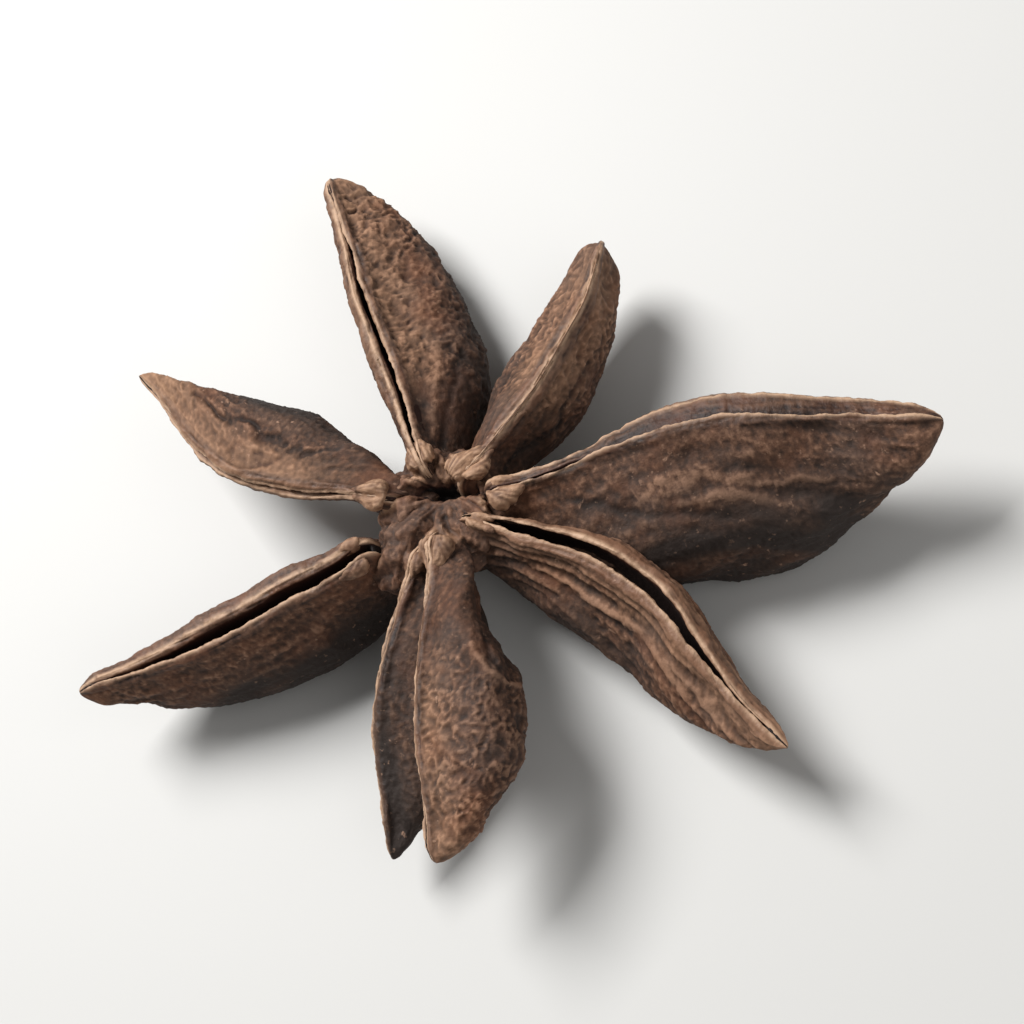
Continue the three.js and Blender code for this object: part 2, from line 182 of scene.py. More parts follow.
# How round the keel turns where the carpel starts to narrow, as a share of the stretch that narrows. The
# CAD model has a plain corner there.
KEEL_CORNER = 0.16
WIDTH_AT_COLUMN = 0.45
WIDTH_SWELLS = (0.05, 0.5)
WIDTH_TAPER = 0.55
POINTED, BLUNT = 0.9, 0.6
CROWDED_HALF, CROWDED_SLOPE = 0.25, 0.38  # neighbours leave this half width, and so much more further out
GAPE_OPENS, GAPE_CLOSES = (0.04, 0.25), (0.58, 0.93)
GROWN_SHUT = (0.01, 0.05)  # gapes from which a closed seam starts to show, and shows whole
# A shut seam's width, and what parting adds to it. The CAD model's seams are nowhere as narrow.
SHUT_GAP, PARTED_GAP = 0.01, 0.05
LIP_AT_COLUMN = 0.3
LIP_THINNING = 0.5
LIP_LIMIT = 0.93  # the most of the half width that lip and gap take up
GROOVE_ENDS = (0.75, 0.97)
SEAM_STARTS = (-0.6, 0.2)  # millimetres beyond the lips' inner ends
SEAM_ENDS = (0.9, 0.95)
CLOSED_SEAM_DEPTH = 0.5
OPEN_SEAM_SHARE = 0.6  # an open seam's depth as a share of the body's
OPEN_GAPE = 0.28  # from this gape on, a seam opens into the hollow
HOLLOW_SHARE = 0.3  # how far the hollow undercuts the flank
BEAK_SHARE = 0.94  # from here on the end is rounded
BEAK_MIDDLE = 0.4  # the rounded end's middle, as a share of the height from lips to keel
# The lips' inner ends round off towards the axis. Here alone, they also rise a little over a short length.
KNOB_ROUND, KNOB_DROP = 0.6, 1.8
KNOB_FALLS = (0.97, 1.3)  # where the steep fall starts and ends, in shares of the rounding
KNOB_RISE, KNOB_LENGTH = 0.12, 0.55

# The cross-section's curves.
LIP_SHOULDER = 0.3  # drop of a lip from its peak to the flank
FLATTEST_PEAK = 1.3  # a lip with its peak this far out would have no shoulder
SHOULDER_LIMIT = 0.2  # the most of the body's height that the shoulder takes up
SEAM_WALL = 3
GROOVE_SLOPE = 1.25
SEAM_EDGE, SEAM_EDGE_CURVE = 0.04, 6  # how far the lip rounds down into the seam, and how sharply
BELLY_HEIGHT, BELLY_FULLNESS = 0.8, 1.2
KEEL_ROUNDNESS = 6
CLOSER_AT_KEEL = 0.2  # how much closer together the flank's points lie near the keel
# A lip's crest is worn pale and also carries a painted highlight.
CREST_WIDTH = 0.09  # how far the worn crest of a lip reaches from its peak

COLUMN_PROFILE = [
    (0, 0), (1.3, 0), (1.22, 0.5), (1.25, 0.9), (1.9, 1.9), (2.4, 3), (2.4, 4.1), (1.7, 4.65), (0, 4.65),
]
# The column bulges into a shoulder where no carpel crowds it: bearing and spread in degrees, share, heights.
SHOULDER_BEARING, SHOULDER_SPREAD, SHOULDER_BULGE, SHOULDER_HEIGHTS = 226, 30, 0.5, (1.9, 3.4)
# The plump nub that ends a lip, before its size is applied. NUB_RISE: how far it stands above the lip.
# NUB_SINK: how far its thin ends lie below. NUB_START, NUB_ASIDE: shares of its width.
NUB_LENGTH, NUB_WIDTH, NUB_THICKNESS, NUB_RISE = 1.65, 0.8, 0.9, 0.1
NUB_SINK, NUB_START, NUB_ASIDE = 0.08, 0.5, 0.45
NUB_SKEW, NUB_FULLNESS = 0.55, 0.8
# Half the pit's length and width. They are a little more than in the CAD model, as its edges slope here.
PIT_HALF = (1.25, 0.32)
PIT_CENTRE = (0.25, 0.65)
PIT_DEPTH, PIT_STEEPNESS = 1.1, 1.5

# How finely a skin is divided.
ROW_SPACING = 0.062
NECK_ROWS, KNOB_FALL_ROWS, KNOB_ROWS, BEAK_ROWS = 4, 7, 14, 16
BEAK_TURN = 0.48 * np.pi
SEAM_STEPS = 7
GROOVE_STEPS = 10
CREST_STEPS = 11
FLANK_STEPS = 62
COLUMN_STEPS, COLUMN_TURN_STEPS = 150, 240
NUB_STEPS, NUB_TURN_STEPS = 32, 32
HUB_CELL = 0.055


def smooth(x, low, high):
    """0 below low, 1 above high, and an even ease between."""
    t = np.clip((x - low) / (high - low), 0, 1)
    return t * t * (3 - 2 * t)


def swing(share, crown):
    """0 at both ends of the length, with an even rise to 1 at the crown."""
    return (1 - np.cos(2 * np.pi * share ** (math.log(0.5) / math.log(crown)))) / 2


# ---- Relief ----

GRADIENTS = np.array([v for v in itertools.product((-1, 0, 1), repeat=3) if sum(map(abs, v)) == 2], float)
DRAWS = 0x1000000  # how many different draws there are


def scramble(cell, seed):
    """A fixed draw for each whole-number cell."""
    x, y, z = (cell[..., i].astype(np.uint64) for i in range(3))
    h = x * np.uint64(0x9E3779B1) ^ y * np.uint64(0x85EBCA77) ^ z * np.uint64(0xC2B2AE3D)
    h ^= np.uint64(seed * 7919 + 13)
    h ^= h >> np.uint64(15)
    h *= np.uint64(0x2C1B3C6D)
    h ^= h >> np.uint64(12)
    h *= np.uint64(0x297A2D39)
    return (h ^ (h >> np.uint64(15))) & np.uint64(DRAWS - 1)


def noise(points, seed):
    """Smooth noise from about -1 to 1, with swellings one unit apart."""
    cell = np.floor(points).astype(np.int64)
    part = points - cell
    ease = part**3 * (part * (part * 6 - 15) + 10)
    total = np.zeros(points.shape[:-1])
    for corner in itertools.product((0, 1), repeat=3):
        corner = np.array(corner)
        gradient = GRADIENTS[scramble(cell + corner, seed) % len(GRADIENTS)]
        weight = np.prod(np.where(corner, ease, 1 - ease), axis=-1)
        total += weight * ((part - corner) * gradient).sum(-1)
    return total * 1.2


def wandered(points, seeds, coarseness, step, reach):
    """Points moved about by noise, which each direction draws at its own place."""
    moves = [noise(points * coarseness + number * step, seed) for number, seed in seeds]
    return points + reach * np.stack(moves, axis=-1)


def wrinkle(points, seed):
    """Narrow crests with wide troughs, 1 on a crest and about -1 in a trough."""
    bent = wandered(points, [(k, seed + k) for k in (1, 2, 3)], coarseness=0.7, step=19.7, reach=0.55)
    return 1 - 2.4 * np.abs(noise(bent, seed))


def nearest_spots(points, seed):
    """Distances to the two nearest of spots strewn about one unit apart, and the nearest one's draw."""
    cell = np.floor(points).astype(np.int64)
    nearest = np.full(points.shape[:-1], 9.0)
    second, draw = nearest.copy(), 0 * nearest
    for step in itertools.product((-1, 0, 1), repeat=3):
        corner = cell + np.array(step)
        spot = corner + np.stack([scramble(corner, seed + k) / DRAWS for k in (0, 1, 2)], axis=-1)
        away = np.linalg.norm(points - spot, axis=-1)
        second = np.minimum(second, np.maximum(nearest, away))
        draw = np.where(away < nearest, scramble(corner, seed + 3) / DRAWS, draw)
        nearest = np.minimum(nearest, away)
    return nearest, second, draw


def lobes(points, seed, crease=0.35):
    """Rounded lumps with creases between them: 1 on a lump and 0 in a crease, and a draw for each lump."""
    bent = wandered(points, [(k, seed + k) for k in (5, 6, 7)], coarseness=1.3, step=23.1, reach=0.35)
    nearest, second, draw = nearest_spots(bent, seed)
    return smooth(second - nearest, 0, crease) * (1 - 0.5 * np.minimum(nearest, 1) ** 2), draw


# ---- The form of a carpel ----


def depth_share(along, carpel):
    """Depth of the body along the carpel, as a share of its fullest depth."""
    neck, swell, taper, beak = (carpel[key] for key in ("neck", "swell", "taper", "beak"))
    past = (along - taper) / (1 - taper)
    eased = np.minimum((past + np.hypot(past, KEEL_CORNER)) / 2, 1)
    narrowing = 1 - (1 - beak) * eased**DEPTH_NARROWING
    return (neck + (1 - neck) * smooth(along, *swell)) * narrowing


def width_share(along, carpel):
    """Width of the body along the carpel, as a share of its fullest width."""
    end = np.clip((along - WIDTH_TAPER) / (1 - WIDTH_TAPER), 0, 1)
    narrowing = 1 - (POINTED - BLUNT * carpel["beak"]) * end**WIDTH_NARROWING
    return (WIDTH_AT_COLUMN + (1 - WIDTH_AT_COLUMN) * smooth(along, *WIDTH_SWELLS)) * narrowing


def chord_of(carpel):
    """The straight line from the column, at HUB_HEIGHT on the axis, to the beak."""
    return math.hypot(carpel["reach"], HUB_HEIGHT - carpel["tip_height"])


def rows_outward(carpel):
    """How far out the cross-sections lie, closest together on the knobs and the beak."""
    chord = chord_of(carpel)
    knob, beak = carpel["knob"], chord * BEAK_SHARE
    fall_ends = knob - KNOB_ROUND * KNOB_FALLS[1]
    return np.concatenate([
        np.linspace(ROOT, fall_ends, NECK_ROWS)[:-1],
        np.linspace(fall_ends, knob - KNOB_ROUND, KNOB_FALL_ROWS)[:-1],
        knob - KNOB_ROUND * np.cos(np.linspace(0, np.pi / 2, KNOB_ROWS))[:-1],
        np.linspace(knob, beak, int((beak - knob) / ROW_SPACING))[:-1],
        beak + (chord - beak) * np.sin(np.linspace(0, BEAK_TURN, BEAK_ROWS)),
    ])


def sections(carpel, outward, side):
    """The measures of one side of the cross-sections this far out.

    Heights count from the straight line between column and beak."""
    share = outward / chord_of(carpel)
    from_knob = outward - carpel["knob"]
    fall_starts, fall_ends = (KNOB_ROUND * fall for fall in KNOB_FALLS)
    rounding = KNOB_ROUND * (1 - np.sqrt(1 - np.clip(-from_knob / KNOB_ROUND, 0, 1) ** 2))
    falling = (KNOB_DROP - KNOB_ROUND) * smooth(-from_knob, fall_starts, fall_ends)
    rising = KNOB_RISE * np.exp(-((from_knob / KNOB_LENGTH) ** 2))
    crest = carpel["arch"] * swing(share, carpel["crown"]) + rising - (rounding + falling)
    keel = -carpel["depth"] * depth_share(share, carpel)
    crowded = CROWDED_HALF + CROWDED_SLOPE * outward
    half = np.minimum(carpel["width"] / 2 * width_share(share, carpel), crowded)

    opening = smooth(share, *GAPE_OPENS) * (1 - smooth(share, *GAPE_CLOSES))
    parted = smooth(carpel["gape"], *GROWN_SHUT)
    gap = np.maximum(PARTED_GAP * parted + SHUT_GAP, carpel["gape"] * opening)
    filling_out = smooth(share, *carpel["widens"])
    thinning = 1 - LIP_THINNING * share**3
    lip = carpel["lips"][side] * (LIP_AT_COLUMN + (1 - LIP_AT_COLUMN) * filling_out) * thinning

    opened = smooth(carpel["gape"], OPEN_GAPE / 2, OPEN_GAPE)
    closed_depth = CLOSED_SEAM_DEPTH * parted
    open_depth = OPEN_SEAM_SHARE * (crest - keel)
    seam = np.minimum(closed_depth + opened * (open_depth - closed_depth), open_depth)
    return dict(
        outward=outward,
        share=share,
        half=half,
        crest=crest,
        keel=keel,
        gap=gap,
        groove=carpel["groove"] * filling_out * (1 - smooth(share, *GROOVE_ENDS)),
        peak=carpel["peaks"][side] + 0 * share,
        lip_half=np.minimum(gap / 2 + lip, LIP_LIMIT * half),
        seam_depth=seam * smooth(from_knob, *SEAM_STARTS) * (1 - smooth(share, *SEAM_ENDS)),
        hollow=HOLLOW_SHARE * opened * np.maximum(0, half - gap / 2 - lip),
    )


def half_outline(section):
    """Half of every cross-section, from the bottom of the seam to the keel.

    For each point: how far out to the side, how high, and how far it belongs to seam, lip and crest."""
    section = {key: values[:, None] for key, values in section.items()}
    gap, crest, keel, groove = (section[key] for key in ("gap", "crest", "keel", "groove"))
    half, lip_half = section["half"], section["lip_half"]
    shoulder = np.minimum(LIP_SHOULDER * (FLATTEST_PEAK - section["peak"]), (crest - keel) * SHOULDER_LIMIT)
    peak = gap / 2 + section["peak"] * (lip_half - gap / 2)

    rise = np.linspace(0, 1, SEAM_STEPS + 1)[None, :-1]
    seam_side = gap / 2 * (1 - (1 - rise) ** SEAM_WALL) + section["hollow"] * np.sin(np.pi * rise)
    seam_up = crest - groove - section["seam_depth"] * (1 - rise)

    up_lip = np.linspace(0, 1, GROOVE_STEPS + 1)[None, :-1]
    groove_side = gap / 2 + (peak - gap / 2) * up_lip
    groove_up = crest - groove * (1 - up_lip) ** GROOVE_SLOPE - SEAM_EDGE * (1 - up_lip) ** SEAM_EDGE_CURVE

    over = np.linspace(0, 1, CREST_STEPS)[None, :]
    crest_side = peak + (lip_half - peak) * np.sin(over * np.pi / 2)
    crest_up = crest - shoulder * (1 - np.cos(over * np.pi / 2))

    even = np.linspace(1, 0, FLANK_STEPS + 1)[None, 1:]
    height = even * (1 - CLOSER_AT_KEEL + CLOSER_AT_KEEL * even)
    belly = np.sin(np.pi * height**BELLY_HEIGHT) ** BELLY_FULLNESS
    roundness = np.sqrt(1 - (1 - height) ** KEEL_ROUNDNESS)
    flank_side = lip_half * roundness + (half - lip_half) * belly
    flank_up = keel + (crest - shoulder - keel) * height

    side = np.hstack([seam_side, groove_side, crest_side, flank_side])
    up = np.hstack([seam_up, groove_up, crest_up, flank_up])
    # The seam is darkest at its bottom, a painted shade over its reddish lining, and this painted shade runs
    # out just over its edge; the lip ends beyond its crest.
    in_seam = [1 - 0.5 * rise, 0.45 * np.clip(1 - up_lip / 0.15, 0, 1), 0 * over, 0 * height]
    on_lip = [0 * rise, 0 * up_lip + 1, 1 - 0.9 * smooth(over, 0.5, 1), 0 * height]
    marks = dict(
        seam=np.hstack(in_seam) + 0 * side,
        lip=np.hstack(on_lip) + 0 * side,
        # The lip's crest: worn pale, with a painted highlight along it.
        crest=np.exp(-((side - peak) ** 2 + (up - crest) ** 2) / CREST_WIDTH**2),
    )
    return side, up, marks


# Here alone, the lips wander aside and up: how far, over which length, and at which heights it sets in.
WANDER_ASIDE, WANDER_ASIDE_LENGTH = 0.14, 2.6
WANDER_UP, WANDER_UP_LENGTH = 0.1, 2.1
WANDER_HEIGHTS = (-2.5, 0.3)
# Each way of wandering has its own lane of the noise. Where a carpel is grown shut, both lips rise together.
ASIDE_LANE, LEFT_LANE, RIGHT_LANE = 0.5, 6.5, 3.5


def carpel_skin(carpel, number):
    """The carpel's skin as a grid of points in its own frame, one row to a cross-section, with its marks."""
    rows = rows_outward(carpel)
    section = sections(carpel, rows, LEFT)
    left_side, left_up, left_marks = half_outline(section)
    right_side, right_up, right_marks = half_outline(sections(carpel, rows, RIGHT))
    share, crest = section["share"], section["crest"]

    # The beak rounds off towards a point in its middle.
    middle = (crest - BEAK_MIDDLE * (crest - section["keel"]))[:, None]
    blunt = np.sqrt(1 - np.clip((share - BEAK_SHARE) / (1 - BEAK_SHARE), 0, 1) ** 2)[:, None]
    left_side, right_side = left_side * blunt, right_side * blunt
    left_up, right_up = (middle + (up - middle) * blunt for up in (left_up, right_up))

    def wander(lane, length):
        return noise(np.stack([rows / length, 0 * rows, 0 * rows + lane], -1), 7 * number)[:, None]

    drift = WANDER_ASIDE * wander(ASIDE_LANE, WANDER_ASIDE_LENGTH)
    left_side = left_side + drift * smooth(left_up, *WANDER_HEIGHTS)
    right_side = right_side - drift * smooth(right_up, *WANDER_HEIGHTS)
    right_lane = RIGHT_LANE if carpel["gape"] else LEFT_LANE
    for up, lane in ((left_up, LEFT_LANE), (right_up, right_lane)):
        up[:, 1:] += (WANDER_UP * wander(lane, WANDER_UP_LENGTH) * smooth(up, *WANDER_HEIGHTS))[:, 1:]

    def ring(right, left):
        return np.hstack([right, left[:, -2:0:-1]])

    side = ring(-right_side, left_side)
    up = ring(right_up, left_up)
    local = np.stack([np.repeat(rows[:, None], side.shape[1], axis=1), side, up], axis=-1)
    marks = {key: ring(right_marks[key], values) for key, values in left_marks.items()}
    marks["drop"] = crest[:, None] - up
    marks["share"] = np.repeat(share[:, None], side.shape[1], axis=1)
    return local, marks


def place(carpel, local):
    """Local points, outward, left and up, in the fruit's frame, with the carpel's lean and its bend."""
    azimuth = math.radians(carpel["azimuth"])
    tip = np.array([
        carpel["reach"] * math.cos(azimuth),
        carpel["reach"] * math.sin(azimuth),
        carpel["tip_height"] - HUB_HEIGHT,
    ])
    chord = np.linalg.norm(tip)
    outwards = tip / chord
    leftwards = np.cross([0, 0, 1], outwards)
    leftwards /= np.linalg.norm(leftwards)
    upwards = np.cross(outwards, leftwards)
    x, y, z = local[..., 0], local[..., 1], local[..., 2]
    share = x / chord
    lean = math.radians(carpel["lean"]) * smooth(share, 0, LEANING_BY)
    bend = math.tan(math.radians(carpel["entry"] - carpel["azimuth"]))
    side = y * np.cos(lean) + z * np.sin(lean) + bend * x * (1 - share)
    side = side + carpel["bow"] * swing(share, carpel["crown"])
    rise = z * np.cos(lean) - y * np.sin(lean)
    return (
        np.array([0, 0, HUB_HEIGHT])
        + x[..., None] * outwards
        + side[..., None] * leftwards
        + rise[..., None] * upwards
    )


# ---- The dried husk's relief ----

# What the relief is drawn from: how far apart the swellings or crests lie along the carpel and round it, in
# millimetres, and the number of the draw.
SWELLINGS = {
    "lumps": (3.2, 3.2, 1),
    "small_lumps": (1.6, 1.6, 2),
    "hollows": (3.4, 2.4, 3),
    "grain": (0.17, 0.17, 30),
    "sway": (4, 1.5, 35),
    "nicks": (0.6, 0.35, 45),
    "patches": (2.1, 2.1, 70),
    "pale_and_shade": (2.2, 1.1, 80),
    "bending": (0.8, 0.8, 90),
}
CRESTS = {
    "furrows": (4.5, 0.6, 10),
    "folds": (1.6, 1.2, 15),
    "worms": (0.42, 0.36, 25),
    "threads": (3.2, 0.2, 40),
}
PEBBLE_SIZE, PEBBLE_DRAW = (0.34, 0.4, 0.4), 20
PEBBLE_WARP, PEBBLE_WARP_SIZE, PEBBLE_WARP_DRAW = 0.12, 0.5, 60
# Pebbles are painted lighter on their lumps and darker in their creases, as light and shade, and each lump
# also differs at random.
PEBBLE_TONE, PEBBLE_TONE_SPREAD = 0.6, 0.85
# How much each adds to the relief, in millimetres, and to the tone, from -1 in hollows to 1 on crests. Where
# the tone follows the relief, it is painted shade in the hollows and painted light on the crests.
ON_FLANK = {
    "lumps": (0.13, 0),
    "small_lumps": (0.05, 0),
    "hollows": (-0.2, -0.15),
    "furrows": (0.06, 0.24),
    "folds": (0.035, 0.15),
    "pebbles": (0.042, 0),
    "pebble_tones": (0, 1),
    "worms": (0.055, 0.36),
    "grain": (0.018, 0.45),
    "ridges": (0.055, 0.35),
}
ON_LIP = {
    "threads": (0.035, 0.5),
    "nicks": (0.06, 0.35),
    "grain": (0.03, 0.4),
}
SMOOTH_NECK_TONE = -0.3
LEAST_NEAR_COLUMN, LEAST_BETWEEN_PATCHES = 0.3, 0.4  # of the pebbles, as shares
# Ridges run along the rim: how far apart they lie, how they sway, and how far below the lips they lie.
RIDGE_SPACING, RIDGE_SWAY = 0.5, 0.7
RIDGES_START, RIDGES_END = (0.15, 0.4), (1.6, 2.6)
# Raised folds are painted lighter and grooved ones darker, as light and shade.
FOLD_WIDTH, FOLD_BEND, FOLD_TONE = 0.15, 0.3, 0.9
# Pale rim and painted shade: how far down the pale rim reaches and how much less it shows on a lip, the
# stretches of the pale tip and of the dark foot of the flank, which is painted shade, and how unevenly all of
# it lies.
RIM_REACH, LESS_ON_LIP = 1.3, 0.65
TIP_PALES, FOOT_DARKENS = (0.84, 0.97), (0.9, 3.6)
FADING_UNEVENNESS = 0.7
# Painted shade: the hollow between the lips is darker than their crests, from this far below the crests on.
LIP_GROOVE_SHADE, LIP_HOLLOW_DROP = -1.2, (0.06, 0.3)
# The relief dies out on the beak: what is left of it there, and over how many rows.
LESS_ON_BEAK, CALMING_ROWS = 0.75, BEAK_ROWS * 1.6
# Painted shade: hollows in the finished skin are darker, and swellings a little lighter: the depth that counts
# as one tone, and the least and the most.
CARPEL_HOLLOW_SHADE, CARPEL_HOLLOW_TONES = 0.12, (-0.35, 0.5)
PATTERN_STEP = 31.0  # how far apart the carpels' parts of the material's patterns lie


def distance_to(line, across, down):
    """The distance of each point of a flank from a line with corners, in millimetres."""
    nearest = np.full(across.shape, 99.0)
    for (x0, y0), (x1, y1) in itertools.pairwise(line):
        length = (x1 - x0) ** 2 + (y1 - y0) ** 2
        along = np.clip(((across - x0) * (x1 - x0) + (down - y0) * (y1 - y0)) / length, 0, 1)
        away = np.hypot(across - x0 - along * (x1 - x0), down - y0 - along * (y1 - y0))
        nearest = np.minimum(nearest, away)
    return nearest


def husk_patterns(rimwise, drop, seed):
    """The patterns of the relief, each from about -1 or 0 to 1, at points that follow the rim."""
    pattern = {}
    for kind, table in ((noise, SWELLINGS), (wrinkle, CRESTS)):
        for name, (along, around, draw) in table.items():
            pattern[name] = kind(rimwise / np.array([along, around, around]), seed + draw)
    warp_draws = [(k, seed + PEBBLE_WARP_DRAW) for k in (1, 2, 3)]
    warped = wandered(rimwise, warp_draws, 1 / PEBBLE_WARP_SIZE, step=7.7, reach=PEBBLE_WARP)
    pebbles, draw = lobes(warped / np.array(PEBBLE_SIZE), seed + PEBBLE_DRAW)
    pattern["pebbles"] = pebbles - 0.5
    pattern["pebble_tones"] = PEBBLE_TONE * (pebbles - 0.55) + PEBBLE_TONE_SPREAD * (draw - 0.5) * pebbles
    pattern["hollows"] = smooth(pattern["hollows"], 0, 0.5)
    waves = np.cos(2 * np.pi * (drop / RIDGE_SPACING + RIDGE_SWAY * pattern["sway"]))
    pattern["ridges"] = waves * smooth(drop, *RIDGES_START) * (1 - smooth(drop, *RIDGES_END))
    return pattern


def added_up(table, pattern, strength):
    """What the patterns in a table give together: relief in millimetres, and tone."""
    relief, tone = 0, 0
    for name, (height, lightness) in table.items():
        here = strength.get(name, 1) * pattern[name]
        relief = relief + height * here
        tone = tone + lightness * here
    return relief, tone


def husk_relief(carpel, local, marks, number):
    """How far the dried husk stands out, in millimetres, its tone, and how pale it is."""
    lip, seam, drop, share = (marks[key] for key in ("lip", "seam", "drop", "share"))
    rimwise = np.stack([local[..., 0], local[..., 1], -drop], axis=-1)
    pattern = husk_patterns(rimwise, drop, 100 * number)
    outer = smooth(share, *carpel["roughens"])
    pebbly = carpel["pebbles"] * (LEAST_NEAR_COLUMN + (1 - LEAST_NEAR_COLUMN) * outer)
    patchy = LEAST_BETWEEN_PATCHES + (1 - LEAST_BETWEEN_PATCHES) * smooth(pattern["patches"], -0.3, 0.3)
    strength = dict(
        furrows=carpel["furrows"],
        ridges=carpel["ridges"],
        worms=pebbly,
        pebbles=pebbly * patchy,
        pebble_tones=pebbly * patchy,
    )
    relief, tone = added_up(ON_FLANK, pattern, strength)
    tone = tone + SMOOTH_NECK_TONE * (1 - outer)
    bending = FOLD_BEND * pattern["bending"]
    for side, height, line in carpel["folds"]:
        away = distance_to(line, local[..., 0] + bending, drop + bending)
        on_side = local[..., 1] > 0 if side == LEFT else local[..., 1] < 0
        fold = np.exp(-((away / FOLD_WIDTH) ** 2)) * on_side
        relief = relief + height * fold
        tone = tone + math.copysign(FOLD_TONE, height) * fold

    # The pale rim and tip are partly the husk's own tan, partly painted light; the dark foot is painted shade.
    rim, tip, foot = carpel["pale_and_shade"]
    pale = rim * np.exp(-drop / RIM_REACH) * outer * (1 - LESS_ON_LIP * lip)
    pale = pale + tip * smooth(share, *TIP_PALES) - foot * smooth(drop, *FOOT_DARKENS)
    pale = pale * (1 + FADING_UNEVENNESS * pattern["pale_and_shade"])

    lip_relief, lip_tone = added_up(ON_LIP, pattern, {})
    # The lips' hollow below the crests is painted shade.
    lip_tone = lip_tone + carpel["shade"][0] + LIP_GROOVE_SHADE * smooth(drop, *LIP_HOLLOW_DROP)
    flank = (1 - lip) * (1 - seam)
    relief = flank * relief + lip * (1 - seam) * lip_relief
    return relief, flank * tone + lip * lip_tone, pale


# ---- Skins and pieces ----


def grid_normals(points):
    """Outward normals of a skin whose rows close, each anticlockwise as seen from the last one."""
    along = np.gradient(points, axis=0)
    around = np.roll(points, -1, axis=1) - np.roll(points, 1, axis=1)
    normals = np.cross(around, along)
    length = np.linalg.norm(normals, axis=-1, keepdims=True)
    return normals / np.maximum(length, 1e-9)


def hollowness(points, normals, reach):
    """How far each point of a skin lies below the skin around it, in millimetres."""
    around = points.copy()
    for _ in range(reach):
        around = (np.roll(around, 1, axis=1) + 2 * around + np.roll(around, -1, axis=1)) / 4
        around[1:-1] = (around[:-2] + 2 * around[1:-1] + around[2:]) / 4
    return ((around - points) * normals).sum(-1)


def with_ends(values):
    """A grid's values in one row, followed by those of the points that close its two ends."""
    flat = values.reshape(-1, *values.shape[2:])
    return np.concatenate([flat, [values[0].mean(0), values[-1].mean(0)]])


def skin_faces(rows, count):
    """The faces of a grid whose rows close, with a point closing each end."""
    index = np.arange(rows * count).reshape(rows, count)
    after = np.roll(index, -1, axis=1)
    quads = np.stack([index[:-1], after[:-1], after[1:], index[1:]], axis=-1).reshape(-1, 4)
    first, last = rows * count, rows * count + 1
    fans = [(first, int(b), int(a)) for a, b in zip(index[0], after[0])]
    fans += [(last, int(a), int(b)) for a, b in zip(index[-1], after[-1])]
    return quads.tolist() + fans


def make_piece(name, points, faces, marks, grain_mm):
    """A smooth-shaded object in metres, with its marks for the material."""
    mesh = bpy.data.meshes.new(name)
    mesh.from_pydata((points * MM).tolist(), [], faces)
    for key, values in marks.items():
        mesh.attributes.new(key, "FLOAT", "POINT").data.foreach_set("value", values.astype(np.float32))
    grain = mesh.attributes.new("grain_mm", "FLOAT_VECTOR", "POINT")
    grain.data.foreach_set("vector", grain_mm.ravel().astype(np.float32))
    mesh.shade_smooth()
    piece = bpy.data.objects.new(name, mesh)
    bpy.context.collection.objects.link(piece)
    return piece


def make_carpel(carpel, number):
    """One boat-shaped carpel with its relief, worn flat where it meets the table."""
    local, marks = carpel_skin(carpel, number)
    relief, tone, pale = husk_relief(carpel, local, marks, number)
    rows = len(local)
    fade = 1 - LESS_ON_BEAK * smooth(np.arange(rows), rows - CALMING_ROWS, rows)[:, None]
    points = place(carpel, local)
    points = points + grid_normals(points) * (relief * fade)[..., None]
    points[..., 2] = np.maximum(points[..., 2], 0)
    hollow = hollowness(points, grid_normals(points), reach=5)
    kept = dict(
        lip=marks["lip"],
        seam=marks["seam"] * smooth(carpel["gape"], *GROWN_SHUT),
        crest=marks["crest"],
        # Painted shade in the hollows, and a little painted light on the swellings.
        tone=tone - np.clip(hollow / CARPEL_HOLLOW_SHADE, *CARPEL_HOLLOW_TONES),
        pale=pale,
    )
    kept = {key: with_ends(values) for key, values in kept.items()}
    rimwise = np.stack([local[..., 0], local[..., 1], -marks["drop"]], axis=-1) + number * PATTERN_STEP
    faces = skin_faces(*local.shape[:2])
    return make_piece(f"carpel_{number}", with_ends(points), faces, kept, with_ends(rimwise))


# ---- The hub: the column, and the nubs that end the lips ----

# Sizes in millimetres of what its relief is drawn from, and the numbers of the draws.
PIT_EDGE_SIZE, PIT_EDGE, PIT_EDGE_DRAWS = 0.33, 0.3, (911, 912)
LUMP_SIZE, LUMP_DRAW, LUMP_CREASE, LUMP_HEIGHT = (1.1, 1.1, 1.7), 901, 0.7, 0.22
# Big folds run out from the pit over the core: how many to a turn, how high, and how they wander.
CORE_FOLDS, CORE_FOLD_HEIGHT, CORE_FOLDS_START = 11, 0.34, (0.5, 1.5)
CORE_WANDER, CORE_WANDER_SIZE, CORE_WANDER_DRAWS = 0.4, 0.7, (908, 909)
CORE_TURN, CORE_TURN_SIZE, CORE_TURN_DRAW = 2, 1.3, 907
FREE_OF_TABLE = (0.05, 0.6)  # the heights over which relief sets in above the stalk's flat scar
# The pleats that run out from the pit over the core: how many to a turn, over 2 pi, and how long they are.
PLEATS = 3.6
PLEAT_LENGTH = 1.8
PLEATS_START = (0.3, 1)
FINER, FINER_ALONG = 2.4, 1.6  # the nubs' own pleats against those of the core
# How much each pattern adds to the relief, in millimetres, and to the tone. Where the tone follows the relief,
# it is painted light on the crests and painted shade in the troughs.
ON_HUB = {
    "folds": (0.03, 0.1),
    "fine": (0.02, 0.08),
    "grain": (0.015, 0.35),
    "pleats": (0.075, 0.25),
    "fine_pleats": (0.035, 0.3),
}
# The nubs are lighter in tone: partly their own paler tan, partly painted light.
NUB_SMOOTHNESS, NUB_TONE = 0.75, 0.12
BLOTCH_TONE, BLOTCH_PALENESS = 0.3, 0.25
# Painted shade in the hub's hollows and painted light on its swellings: the depth that counts as one tone, and
# the least and the most.
HUB_HOLLOW_SHADE, HUB_HOLLOW_TONES = 0.06, (-0.45, 1.2)
